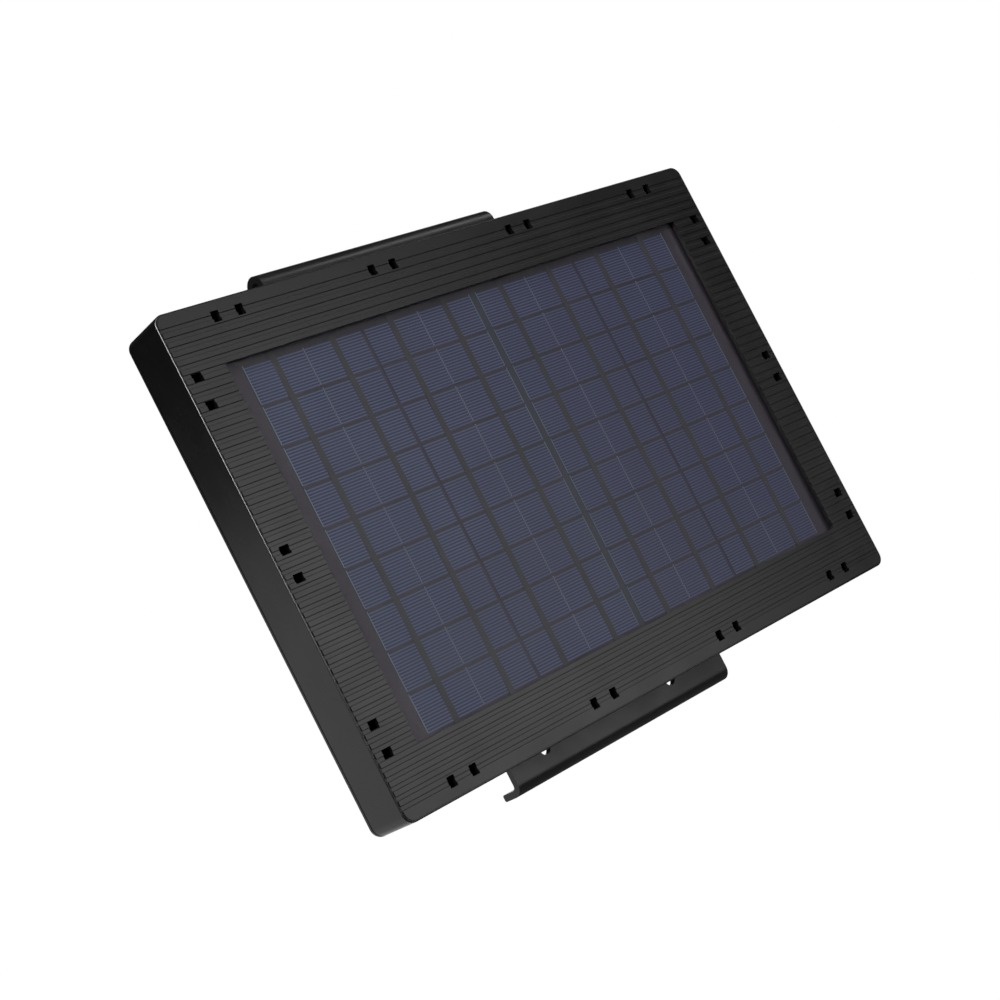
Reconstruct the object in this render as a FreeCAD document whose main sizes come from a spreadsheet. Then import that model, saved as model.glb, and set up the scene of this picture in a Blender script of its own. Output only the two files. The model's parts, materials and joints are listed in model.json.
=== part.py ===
"""Framed solar panel that hangs from a rail by a hook bracket.

A moulded casing and back cover carry a 36-cell laminate behind a ribbed, snap-in bezel. The bracket
stands off the back cover on two spacers. Everything is drawn in panel coordinates, with X along the
width, Y backwards from the bezel's front face and Z up from the panel's centre, and is then moved so
that the row's origin lies on the axis of the hook's half-round seat.
"""

import FreeCAD, Part
import Sketcher
import math
import os

from FreeCAD import Placement, Rotation, Vector

SIZES = {
    # Panel outline
    "PanelWidth": 395.0,
    "PanelHeight": 272.5,
    "CornerRadius": 6.0,
    # Axis of the hook's seat, from the panel's centre
    "HookDepth": 59.25,
    "HookHeight": 152.05,
    # Casing
    "RimSetback": 0.5,
    "RimThickness": 0.9,
    "WallThickness": 2.5,
    "CasingBack": 28.8,
    "LedgeFront": 7.6,
    "LedgeBack": 9.6,
    "LedgeOpenWidth": 336.0,
    "LedgeOpenHeight": 201.0,
    "ClipHoleLength": 22.0,
    "ClipHoleWidth": 9.0,
    "EdgeRound": 0.7,
    "RearEdgeRound": 0.4,
    # Bezel
    "BezelGap": 0.2,
    "BezelBack": 2.8,
    "WindowWidth": 342.0,
    "WindowHeight": 207.5,
    "WindowRadius": 1.5,
    "RibPitch": 5.0,
    "GrooveWidth": 2.5,
    "GrooveSlope": 0.3,
    "GrooveDepth": 0.45,
    "GrooveCount": 52,
    "SlotWidth": 4.8,
    "SlotLength": 5.9,
    "SlotSpacing": 15.0,
    "SlotInsetX": 8.4,
    "SlotInsetZ": 8.8,
    "ClipPitchX": 103.7,
    "ClipPitchZ": 93.5,
    "ClipArmWidth": 7.0,
    "ClipArmThickness": 1.6,
    "ClipArmEnd": 12.6,
    "ClipBarb": 1.1,
    # Laminate
    "LaminateWidth": 352.0,
    "LaminateHeight": 217.0,
    "SheetFront": 3.2,
    "SheetBack": 3.6,
    "CellFront": 4.1,
    "CellBack": 4.3,
    "BoardFront": 4.8,
    "BoardBack": 6.8,
    "CellWidth": 78.0,
    "CellHeight": 22.3,
    "CellRowPitch": 22.6,
    "CellColumnPitch": 79.7,
    "CentreGap": 4.7,
    "CellDrop": 0.65,
    "RibbonWidth": 3.8,
    "RibbonSpacing": 39.3,
    "RibbonThickness": 0.15,
    "ResinGap": 0.03,
    "BusHeight": 105.2,
    "BusWidth": 4.0,
    # Back cover
    "SeamWidth": 0.4,
    "SeamDepth": 0.8,
    "CoverBack": 32.3,
    "CoverEdgeRound": 2.0,
    "LipClearance": 0.3,
    "LipThickness": 2.0,
    "LipFront": 24.8,
    "SealFront": 27.2,
    "SealWidth": 1.5,
    "CoverScrewX": 103.75,
    "CoverScrewCornerX": 184.0,
    "CoverScrewZ": 125.8,
    "CoverScrewCornerZ": 120.5,
    # Bracket and its spacers
    "BracketWidth": 177.0,
    "BracketThickness": 4.0,
    "BracketFront": 51.5,
    "HookRadius": 3.75,
    "HookLeg": 14.0,
    "BendRadius": 2.5,
    "FootBottom": 153.65,
    "FootEnd": 67.8,
    "TipRound": 1.2,
    "MountHoleDiameter": 7.6,
    "MountHoleLeft": 61.0,
    "MountHoleRight": 43.5,
    "MountHoleDrop": 137.4,
    "SpacerWidth": 16.0,
    "SpacerHeight": 190.0,
    "SpacerX": 60.0,
    "BoltZ": 75.0,
    "BoltDiameter": 5.0,
    "BoltClearance": 5.5,
    "CountersinkDepth": 2.1,
    # Junction parts behind the laminate
    "JunctionX": 100.0,
    "JunctionZ": 95.0,
    "GlandX": 140.0,
    "LeadSpacing": 5.0,
    "LeadDiameter": 2.2,
    "LeadStartZ": 70.0,
    "LeadBend": 7.0,
    "TerminalDepth": 15.5,
    "BoardPlateFront": 19.8,
    "BoardPlateBack": 21.4,
}

doc = FreeCAD.newDocument("SolarPanel")
sheet = doc.addObject("Spreadsheet::Sheet", "Sizes")
for row, (alias, value) in enumerate(SIZES.items(), start=1):
    sheet.set(f"A{row}", alias)
    sheet.set(f"B{row}", str(value))
    sheet.setAlias(f"B{row}", alias)
doc.recompute()

NODES = []
ALONG_Y = Rotation(Vector(1, 0, 0), -90)
CORNERS = [(-1, -1), (1, -1), (-1, 1), (1, 1)]


def sized(formula):
    """Turns a formula of size names into one that reads the sheet."""
    words = []
    token = ""
    for character in str(formula) + " ":
        if character.isalnum() or character == "_":
            token += character
            continue
        words.append(f"Sizes.{token}" if token in SIZES else token)
        words.append(character)
        token = ""
    return "".join(words).strip()


def bind(item, **formulas):
    for name, formula in formulas.items():
        item.setExpression(name.replace("__", "."), sized(formula))


def node(item, name):
    item.Label = name
    NODES.append(item)
    return item


# ---------------------------------------------------------------- PartDesign helpers


def new_body(name):
    """A body drawn in panel coordinates and placed in the row's frame."""
    body = doc.addObject("PartDesign::Body", "Body_" + name)
    bind(body, Placement__Base__y="-HookDepth", Placement__Base__z="-HookHeight")
    return node(body, name)


def origin_item(body, role):
    return next(item for item in body.Origin.OriginFeatures if item.Role == role)


def new_sketch(body, name, plane, x="0", y="0", offset="0"):
    """A sketch on an origin plane, shifted in the plane by x, y and along its normal by offset."""
    sketch = body.newObject("Sketcher::SketchObject", name)
    sketch.AttachmentSupport = (origin_item(body, plane), [""])
    sketch.MapMode = "FlatFace"
    bind(
        sketch,
        AttachmentOffset__Base__x=x,
        AttachmentOffset__Base__y=y,
        AttachmentOffset__Base__z=offset,
    )
    return sketch


def front_sketch(body, name, depth, x="0", z="0"):
    """A sketch parallel to the panel's face, at a depth behind it."""
    return new_sketch(body, name, "XZ_Plane", x, z, f"-({depth})")


def size_constraint(sketch, name, formula, *geometry):
    index = sketch.addConstraint(Sketcher.Constraint(*geometry))
    sketch.renameConstraint(index, name)
    sketch.setExpression(f"Constraints.{name}", sized(formula))


def add_rectangle(sketch, width, height, label=""):
    """A rectangle about the sketch's origin."""
    first = sketch.GeometryCount
    corners = [Vector(-2, -1, 0), Vector(2, -1, 0), Vector(2, 1, 0), Vector(-2, 1, 0)]
    for i in range(4):
        sketch.addGeometry(Part.LineSegment(corners[i], corners[(i + 1) % 4]), False)
    for i in range(4):
        following = first + (i + 1) % 4
        sketch.addConstraint(Sketcher.Constraint("Coincident", first + i, 2, following, 1))
    for i in range(4):
        kind = "Vertical" if i % 2 else "Horizontal"
        sketch.addConstraint(Sketcher.Constraint(kind, first + i))
    sketch.addConstraint(Sketcher.Constraint("Symmetric", first, 1, first + 2, 1, -1, 1))
    size_constraint(sketch, "Width" + label, width, "DistanceX", first, 1, first, 2, 4.0)
    size_constraint(sketch, "Height" + label, height, "DistanceY", first + 1, 1, first + 1, 2, 2.0)


def add_circle(sketch, diameter):
    sketch.addGeometry(Part.Circle(Vector(0, 0, 0), Vector(0, 0, 1), 1.0), False)
    sketch.addConstraint(Sketcher.Constraint("Coincident", 0, 3, -1, 1))
    size_constraint(sketch, "Size", diameter, "Diameter", 0, 2.0)


def add_hexagon(sketch, across_flats):
    """A regular hexagon on a construction circle, with two flats level."""
    points = [Vector(math.cos(math.radians(60 * i)), math.sin(math.radians(60 * i)), 0) for i in range(6)]
    for i in range(6):
        sketch.addGeometry(Part.LineSegment(points[i], points[(i + 1) % 6]), False)
    sketch.addGeometry(Part.Circle(Vector(0, 0, 0), Vector(0, 0, 1), 1.0), True)
    sketch.addConstraint(Sketcher.Constraint("Coincident", 6, 3, -1, 1))
    for i in range(6):
        sketch.addConstraint(Sketcher.Constraint("Coincident", i, 2, (i + 1) % 6, 1))
        sketch.addConstraint(Sketcher.Constraint("PointOnObject", i, 1, 6))
    for i in range(5):
        sketch.addConstraint(Sketcher.Constraint("Equal", i, i + 1))
    sketch.addConstraint(Sketcher.Constraint("PointOnObject", 0, 1, -1))
    size_constraint(sketch, "Size", f"({across_flats}) / cos(30)", "Diameter", 6, 2.0)


def extrude(body, sketch, kind, length, backwards):
    feature = body.newObject(f"PartDesign::{kind}", f"{sketch.Name}_{kind}")
    feature.Profile = sketch
    feature.Type = "Length"
    feature.Reversed = backwards
    bind(feature, Length=length)
    sketch.Visibility = False
    doc.recompute()
    return feature


def pad(body, sketch, length):
    """Adds material from the sketch towards the back of the panel."""
    return extrude(body, sketch, "Pad", length, True)


def pocket(body, sketch, length):
    """Cuts from the sketch towards the back of the panel, and makes sure that it cut something."""
    before = body.Shape.Volume
    feature = extrude(body, sketch, "Pocket", length, False)
    if body.Shape.Volume >= before - 1e-6:
        raise RuntimeError(f"{feature.Name} cuts nothing")
    return feature


def block(body, name, front, back, width, height, x="0", z="0"):
    sketch = front_sketch(body, name, front, x, z)
    add_rectangle(sketch, width, height)
    return pad(body, sketch, f"({back}) - ({front})")


def recess(body, name, front, back, width, height, x="0", z="0"):
    sketch = front_sketch(body, name, front, x, z)
    add_rectangle(sketch, width, height)
    return pocket(body, sketch, f"({back}) - ({front})")


def ring(body, name, front, back, outer, inner):
    """A rectangular ring between two depths. Outer and inner are (width, height)."""
    sketch = front_sketch(body, name, front)
    add_rectangle(sketch, outer[0], outer[1], "Outer")
    add_rectangle(sketch, inner[0], inner[1], "Inner")
    return pad(body, sketch, f"({back}) - ({front})")


def round_post(body, name, front, back, diameter, x, z):
    sketch = front_sketch(body, name, front, x, z)
    add_circle(sketch, diameter)
    return pad(body, sketch, f"({back}) - ({front})")


def round_hole(body, name, front, back, diameter, x, z):
    sketch = front_sketch(body, name, front, x, z)
    add_circle(sketch, diameter)
    return pocket(body, sketch, f"({back}) - ({front})")


def hexagon(body, name, front, back, across_flats, x="0", z="0"):
    sketch = front_sketch(body, name, front, x, z)
    add_hexagon(sketch, across_flats)
    return pad(body, sketch, f"({back}) - ({front})")


def repeat(body, feature, role, length, count):
    pattern = body.newObject("PartDesign::LinearPattern", feature.Name + "_Row")
    pattern.Originals = [feature]
    pattern.Direction = (origin_item(body, role), [""])
    bind(pattern, Length=length, Occurrences=count)
    body.Tip = pattern
    doc.recompute()
    return pattern


def edges_where(body, test):
    """Names of the edges of the body's shape, in panel coordinates, that pass the test."""
    move = body.Placement.inverse()
    names = []
    for i, edge in enumerate(body.Shape.Edges, start=1):
        ends = [move.multVec(vertex.Point) for vertex in edge.Vertexes]
        if len(ends) == 2 and test(edge, *ends):
            names.append(f"Edge{i}")
    return names


def circles_at(body, radius, depth):
    """Names of the circular edges of this radius at one depth."""
    names = []
    for i, edge in enumerate(body.Shape.Edges, start=1):
        if not hasattr(edge.Curve, "Radius") or abs(edge.Curve.Radius - radius) > 1e-3:
            continue
        if abs(edge.Curve.Center.y + value("HookDepth") - depth) < 1e-3:
            names.append(f"Edge{i}")
    return names


def dress(body, kind, names, **formulas):
    """Fillets or chamfers the named edges of the body."""
    base = body.Tip
    feature = body.newObject(f"PartDesign::{kind}", f"{base.Name}_{kind}")
    feature.Base = (base, names)
    bind(feature, **formulas)
    body.Tip = feature
    doc.recompute()
    return feature


def value(name):
    return float(sheet.get(name))


def round_corners(body, radius, width, height):
    """Rounds the front-to-back edges of a plate or opening of this size."""

    def is_corner(edge, start, end):
        along_y = abs(start.x - end.x) < 1e-3 and abs(start.z - end.z) < 1e-3
        on_width = abs(abs(start.x) - width / 2) < 1e-3
        return along_y and on_width and abs(abs(start.z) - height / 2) < 1e-3

    return dress(body, "Fillet", edges_where(body, is_corner), Radius=radius)


def round_outline(body, radius, depth, width, height):
    """Rounds the edge that runs round the plate's outline at one depth."""

    def is_outline(edge, start, end):
        at_depth = abs(start.y - depth) < 1e-3 and abs(end.y - depth) < 1e-3
        outside = all(
            abs(abs(point.x) - width / 2) < 1e-3 or abs(abs(point.z) - height / 2) < 1e-3
            for point in (start, end)
        )
        return at_depth and outside

    return dress(body, "Fillet", edges_where(body, is_outline), Radius=radius)


# ---------------------------------------------------------------- Part helpers


def place(item, x, y, z, turn=None):
    """Places a primitive at a point in panel coordinates."""
    if turn is not None:
        item.Placement = Placement(Vector(), turn)
    bind(
        item,
        Placement__Base__x=x,
        Placement__Base__y=f"({y}) - HookDepth",
        Placement__Base__z=f"({z}) - HookHeight",
    )
    return item


def box(name, x, y, z, width, depth, height):
    """A box from its centre in X and Z and its front face in Y."""
    item = doc.addObject("Part::Box", name)
    bind(item, Length=width, Width=depth, Height=height)
    return place(item, f"({x}) - ({width}) / 2", y, f"({z}) - ({height}) / 2")


def cylinder(name, x, y, z, diameter, depth, turn=ALONG_Y):
    item = doc.addObject("Part::Cylinder", name)
    bind(item, Radius=f"({diameter}) / 2", Height=depth)
    return place(item, x, y, z, turn)


def prism(name, x, y, z, across_flats, depth):
    item = doc.addObject("Part::Prism", name)
    bind(item, Circumradius=f"({across_flats}) / 2 / cos(30)", Height=depth)
    return place(item, x, y, z, ALONG_Y)


def cut(name, base, tool):
    item = doc.addObject("Part::Cut", name)
    item.Base, item.Tool = base, tool
    return item


def fuse(name, pieces):
    item = doc.addObject("Part::MultiFuse", name)
    item.Shapes = pieces
    return item


def group(name, pieces):
    """Several separate solids in one node."""
    item = doc.addObject("Part::Compound", "Group_" + name)
    item.Links = pieces
    return node(item, name)


# ---------------------------------------------------------------- Casing, bezel and cover

CLIP_STEPS_X = (-1.5, -0.5, 0.5, 1.5)
CLIP_STEPS_Z = (-1, 0, 1)
BORE_X = "PanelWidth - 2 * WallThickness"
BORE_Z = "PanelHeight - 2 * WallThickness"
REBATE_X = "PanelWidth - 2 * RimThickness"
REBATE_Z = "PanelHeight - 2 * RimThickness"
COVER_SCREW_POINTS = [
    (f"{sx} * CoverScrewX", f"{sz} * CoverScrewZ") for sx in (-1, 0, 1) for sz in (-1, 1)
] + [(f"{sx} * CoverScrewCornerX", f"{sz} * CoverScrewCornerZ") for sx, sz in CORNERS]
BOLT_POINTS = [(f"{sx} * SpacerX", f"{sz} * BoltZ") for sx, sz in CORNERS]
BOARD_SCREW_POINTS = [
    ("JunctionX - 16", "-JunctionZ + 11"),
    ("JunctionX + 16", "-JunctionZ - 15"),
]


def clip_positions():
    """Centre of each snap clip, with the direction from it to the nearest edge of the panel."""
    places = []
    for sz in (-1, 1):
        for i in CLIP_STEPS_X:
            places.append((f"{i} * ClipPitchX", f"{sz} * (PanelHeight / 2 - SlotInsetZ)", (0, sz)))
    for sx in (-1, 1):
        for i in CLIP_STEPS_Z:
            places.append((f"{sx} * (PanelWidth / 2 - SlotInsetX)", f"{i} * ClipPitchZ", (sx, 0)))
    return places


def make_casing():
    body = new_body("casing")
    block(body, "Shell", "RimSetback", "CasingBack", "PanelWidth", "PanelHeight")
    recess(body, "Rebate", "RimSetback", "BezelBack", REBATE_X, REBATE_Z)
    recess(body, "FrontBore", "BezelBack", "LedgeFront", BORE_X, BORE_Z)
    recess(body, "LedgeWindow", "LedgeFront", "LedgeBack", "LedgeOpenWidth", "LedgeOpenHeight")
    recess(body, "BackBore", "LedgeBack", "CasingBack", BORE_X, BORE_Z)
    for inset in ("WallThickness", "RimThickness", "0"):
        step = 0 if inset == "0" else 2 * value(inset)
        round_corners(
            body, f"CornerRadius - {inset}", value("PanelWidth") - step, value("PanelHeight") - step
        )
    for i, (x, z, (toward_x, _)) in enumerate(clip_positions()):
        across = ("ClipHoleWidth", "ClipHoleLength") if toward_x else ("ClipHoleLength", "ClipHoleWidth")
        recess(body, f"ClipHole{i}", "LedgeFront", "LedgeBack", *across, x, z)
    for i, (x, z) in enumerate(COVER_SCREW_POINTS):
        round_post(body, f"Boss{i}", "LedgeBack", "CasingBack", "8", x, z)
        round_hole(body, f"BossHole{i}", "LedgeBack + 2", "CasingBack", "2.9", x, z)
    for size, depth in (("EdgeRound", "RimSetback"), ("RearEdgeRound", "CasingBack")):
        round_outline(body, size, value(depth), value("PanelWidth"), value("PanelHeight"))


def make_bezel():
    body = new_body("bezel")
    gap = "2 * (RimThickness + BezelGap)"
    margin = 2 * (value("RimThickness") + value("BezelGap"))
    block(body, "Plate", "0", "BezelBack", f"PanelWidth - {gap}", f"PanelHeight - {gap}")
    round_corners(
        body, "CornerRadius - RimThickness - BezelGap",
        value("PanelWidth") - margin, value("PanelHeight") - margin,
    )
    recess(body, "Window", "0", "BezelBack", "WindowWidth", "WindowHeight")
    round_corners(body, "WindowRadius", value("WindowWidth"), value("WindowHeight"))
    for i, (x, z, (toward_x, toward_z)) in enumerate(clip_positions()):
        for side in (-1, 1):
            shift = f"{side} * SlotSpacing / 2"
            if toward_x:
                shape = ("SlotLength", "SlotWidth", x, f"{z} + {shift}")
            else:
                shape = ("SlotWidth", "SlotLength", f"{x} + {shift}", z)
            recess(body, f"Slot{i}_{side + 1}", "0", "BezelBack", *shape)
        add_clip(body, i, x, z, toward_x, toward_z)
    groove = add_groove(body, "-(GrooveCount - 1) / 2 * RibPitch")
    repeat(body, groove, "Z_Axis", "(GrooveCount - 1) * RibPitch", "GrooveCount")


def add_groove(body, z):
    """A groove with sloping sides, right across the bezel's front face."""
    sketch = new_sketch(body, "Groove", "YZ_Plane", y=z, offset="-PanelWidth / 2")
    corners = [Vector(0, 1, 0), Vector(0, -1, 0), Vector(0.5, -0.8, 0), Vector(0.5, 0.8, 0)]
    for i in range(4):
        sketch.addGeometry(Part.LineSegment(corners[i], corners[(i + 1) % 4]), False)
    for i in range(4):
        sketch.addConstraint(Sketcher.Constraint("Coincident", i, 2, (i + 1) % 4, 1))
    sketch.addConstraint(Sketcher.Constraint("PointOnObject", 0, 1, -2))
    for side in (0, 2):
        sketch.addConstraint(Sketcher.Constraint("Symmetric", side, 1, side, 2, -1))
    size_constraint(sketch, "Opening", "GrooveWidth", "DistanceY", 0, 2, 0, 1, 2.0)
    size_constraint(sketch, "Floor", "GrooveWidth - 2 * GrooveSlope", "DistanceY", 2, 1, 2, 2, 1.6)
    size_constraint(sketch, "Depth", "GrooveDepth", "DistanceX", 2, 1, 0.5)
    before = body.Shape.Volume
    groove = extrude(body, sketch, "Pocket", "PanelWidth", True)
    if body.Shape.Volume >= before:
        raise RuntimeError("the groove cuts nothing")
    return groove


def add_clip(body, i, x, z, toward_x, toward_z):
    """A snap arm with a barb, between two slots. It grips the edge of a clip hole in the casing's ledge."""
    reach = "(ClipHoleWidth - ClipArmThickness) / 2 - ClipBarb / 2"
    barb = "(ClipHoleWidth + ClipBarb) / 2"
    barb_front = "LedgeBack + 0.2"
    if toward_x:
        block(body, f"Arm{i}", "BezelBack", "ClipArmEnd", "ClipArmThickness", "ClipArmWidth",
              f"{x} + {toward_x} * ({reach})", z)
        block(body, f"Barb{i}", barb_front, "ClipArmEnd", "ClipBarb * 2", "ClipArmWidth",
              f"{x} + {toward_x} * ({barb} - ClipBarb)", z)
    else:
        block(body, f"Arm{i}", "BezelBack", "ClipArmEnd", "ClipArmWidth", "ClipArmThickness",
              x, f"{z} + {toward_z} * ({reach})")
        block(body, f"Barb{i}", barb_front, "ClipArmEnd", "ClipArmWidth", "ClipBarb * 2",
              x, f"{z} + {toward_z} * ({barb} - ClipBarb)")


def make_back_cover():
    body = new_body("back_cover")
    block(
        body, "Step", "CasingBack", "CasingBack + SeamWidth",
        "PanelWidth - 2 * SeamDepth", "PanelHeight - 2 * SeamDepth",
    )
    step = 2 * value("SeamDepth")
    round_corners(
        body, "CornerRadius - SeamDepth", value("PanelWidth") - step, value("PanelHeight") - step
    )
    block(body, "Plate", "CasingBack + SeamWidth", "CoverBack", "PanelWidth", "PanelHeight")
    round_corners(body, "CornerRadius", value("PanelWidth"), value("PanelHeight"))
    round_outline(body, "CoverEdgeRound", value("CoverBack"), value("PanelWidth"), value("PanelHeight"))
    outer = (f"{BORE_X} - 2 * LipClearance", f"{BORE_Z} - 2 * LipClearance")
    inner = tuple(f"{side} - 2 * LipThickness" for side in outer)
    seal_line = (f"{BORE_X} - 2 * SealWidth", f"{BORE_Z} - 2 * SealWidth")
    ring(body, "LipBase", "SealFront", "CasingBack", seal_line, inner)
    ring(body, "Lip", "LipFront", "SealFront", outer, inner)
    for i, (x, z) in enumerate(BOLT_POINTS):
        round_post(body, f"BoltBoss{i}", "CasingBack - 9", "CasingBack", "13", x, z)
        round_hole(body, f"InsertHole{i}", "CoverBack - 10", "CoverBack", "7", x, z)
    for i, (x, z) in enumerate(COVER_SCREW_POINTS):
        round_hole(body, f"ScrewHole{i}", "CasingBack", "CoverBack", "3.5", x, z)
    for i, (x, z) in enumerate(BOARD_SCREW_POINTS):
        round_post(body, f"Standoff{i}", "BoardPlateBack", "CasingBack", "6.5", x, z)
        round_hole(body, f"StandoffHole{i}", "BoardPlateBack", "CasingBack", "2.2", x, z)
    round_hole(body, "GlandHole", "CasingBack", "CoverBack", "12.4", "GlandX", "-JunctionZ")
    for i, height in enumerate((-1, 0, 1)):
        block(body, f"Rib{i}", "LipFront", "CasingBack", f"{BORE_X} - 8", "1.5", "0", f"{height} * 47")


def make_cover_seal():
    body = new_body("cover_seal")
    outer = (BORE_X, BORE_Z)
    inner = (f"{BORE_X} - 2 * SealWidth", f"{BORE_Z} - 2 * SealWidth")
    ring(body, "Cord", "SealFront", "CasingBack", outer, inner)
    round_corners(
        body,
        "CornerRadius - WallThickness",
        value("PanelWidth") - 2 * value("WallThickness"),
        value("PanelHeight") - 2 * value("WallThickness"),
    )


# ---------------------------------------------------------------- Laminate

CELL_ROWS = 9
CELL_COLUMNS = 4


def column_x(column):
    """Centre of a column of cells. The two middle columns stand further apart than the outer pairs."""
    side = -1 if column < 2 else 1
    outer = column in (0, CELL_COLUMNS - 1)
    centre = "CentreGap / 2 + CellWidth / 2" + (" + CellColumnPitch" if outer else "")
    return f"{side} * ({centre})"


def make_laminate():
    plate = ("LaminateWidth", "LaminateHeight")
    gasket = new_body("bezel_gasket")
    ring(gasket, "Tape", "BezelBack", "SheetFront", plate, ("WindowWidth + 2", "WindowHeight + 2"))
    sheet_body = new_body("front_sheet")
    block(sheet_body, "Film", "SheetFront", "SheetBack", *plate)
    front = new_body("front_encapsulant")
    block(front, "Layer", "SheetBack", "CellFront - ResinGap", *plate)
    for column in range(CELL_COLUMNS):
        for side in (-1, 1):
            recess(
                front, f"Channel{column}_{side + 1}", "CellFront - RibbonThickness - ResinGap",
                "CellFront", "RibbonWidth + 2 * ResinGap", "2 * BusHeight + BusWidth + 2 * ResinGap",
                f"{column_x(column)} + {side} * RibbonSpacing / 2",
            )
    rear = new_body("rear_encapsulant")
    block(rear, "Layer", "CellBack", "BoardFront", *plate)
    board = new_body("base_board")
    block(board, "Board", "BoardFront", "BoardBack", *plate)
    for side in (-1, 1):
        round_hole(
            board, f"LeadHole{side + 1}", "BoardFront", "BoardBack", "LeadDiameter + 0.4",
            f"JunctionX + {side} * LeadSpacing / 2", "-LeadStartZ",
        )
    pads = new_body("laminate_pad")
    ring(
        pads, "Foam", "BoardBack", "LedgeFront", ("LaminateWidth - 2", "LaminateHeight - 2"),
        ("LedgeOpenWidth + 2", "LedgeOpenHeight + 2"),
    )


def make_cells():
    thickness = "CellBack - CellFront"
    for column in range(CELL_COLUMNS):
        cells = [
            box(
                f"Cell{column}_{row}", column_x(column), "CellFront",
                f"{row - (CELL_ROWS - 1) / 2} * CellRowPitch - CellDrop",
                "CellWidth", thickness, "CellHeight",
            )
            for row in range(CELL_ROWS)
        ]
        group(f"cell_string_{column + 1}", cells)
    ribbons = [
        box(
            f"Ribbon{column}_{side + 1}", f"{column_x(column)} + {side} * RibbonSpacing / 2",
            "CellFront - RibbonThickness", "0", "RibbonWidth", "RibbonThickness",
            "2 * BusHeight + BusWidth",
        )
        for column in range(CELL_COLUMNS)
        for side in (-1, 1)
    ]
    group("cell_ribbons", ribbons)
    joined = "CellColumnPitch + RibbonSpacing + RibbonWidth"
    middle = "CentreGap + CellWidth + RibbonSpacing + RibbonWidth"
    end = "RibbonSpacing + RibbonWidth"
    outer_x = "CentreGap / 2 + CellWidth / 2 + CellColumnPitch / 2"
    strips = [
        ("Left", f"-({outer_x})", "BusHeight", joined),
        ("Right", outer_x, "BusHeight", joined),
        ("Middle", "0", "-BusHeight", middle),
        ("Plus", column_x(0), "-BusHeight", end),
        ("Minus", column_x(CELL_COLUMNS - 1), "-BusHeight", end),
    ]
    group(
        "cross_ribbons",
        [box(f"Bus{name}", x, "CellFront", z, width, thickness, "BusWidth") for name, x, z, width in strips],
    )


# ---------------------------------------------------------------- Bracket


def make_bracket():
    body = new_body("hook_bracket")
    sketch = new_sketch(body, "Profile", "YZ_Plane", offset="-BracketWidth / 2")
    draw_bracket_profile(sketch)
    extrude(body, sketch, "Pad", "BracketWidth", False)
    tip = value("FootEnd")
    leg = value("HookHeight") - value("HookLeg")

    def is_tip(edge, start, end):
        along_x = abs(start.y - end.y) < 1e-3 and abs(start.z - end.z) < 1e-3
        return along_x and (abs(start.y - tip) < 1e-3 or abs(start.z - leg) < 1e-3)

    dress(body, "Fillet", edges_where(body, is_tip), Radius="TipRound")
    back = "BracketFront + BracketThickness"
    for i, (x, z) in enumerate(BOLT_POINTS):
        round_hole(body, f"BoltHole{i}", "BracketFront", back, "BoltClearance", x, z)
    rim = circles_at(body, value("BoltClearance") / 2, value("BracketFront") + value("BracketThickness"))
    dress(body, "Chamfer", rim, Size="CountersinkDepth")
    for name, x in (("Left", "-MountHoleLeft"), ("Right", "MountHoleRight")):
        round_hole(body, f"MountHole{name}", "BracketFront", back, "MountHoleDiameter", x, "-MountHoleDrop")


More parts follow.
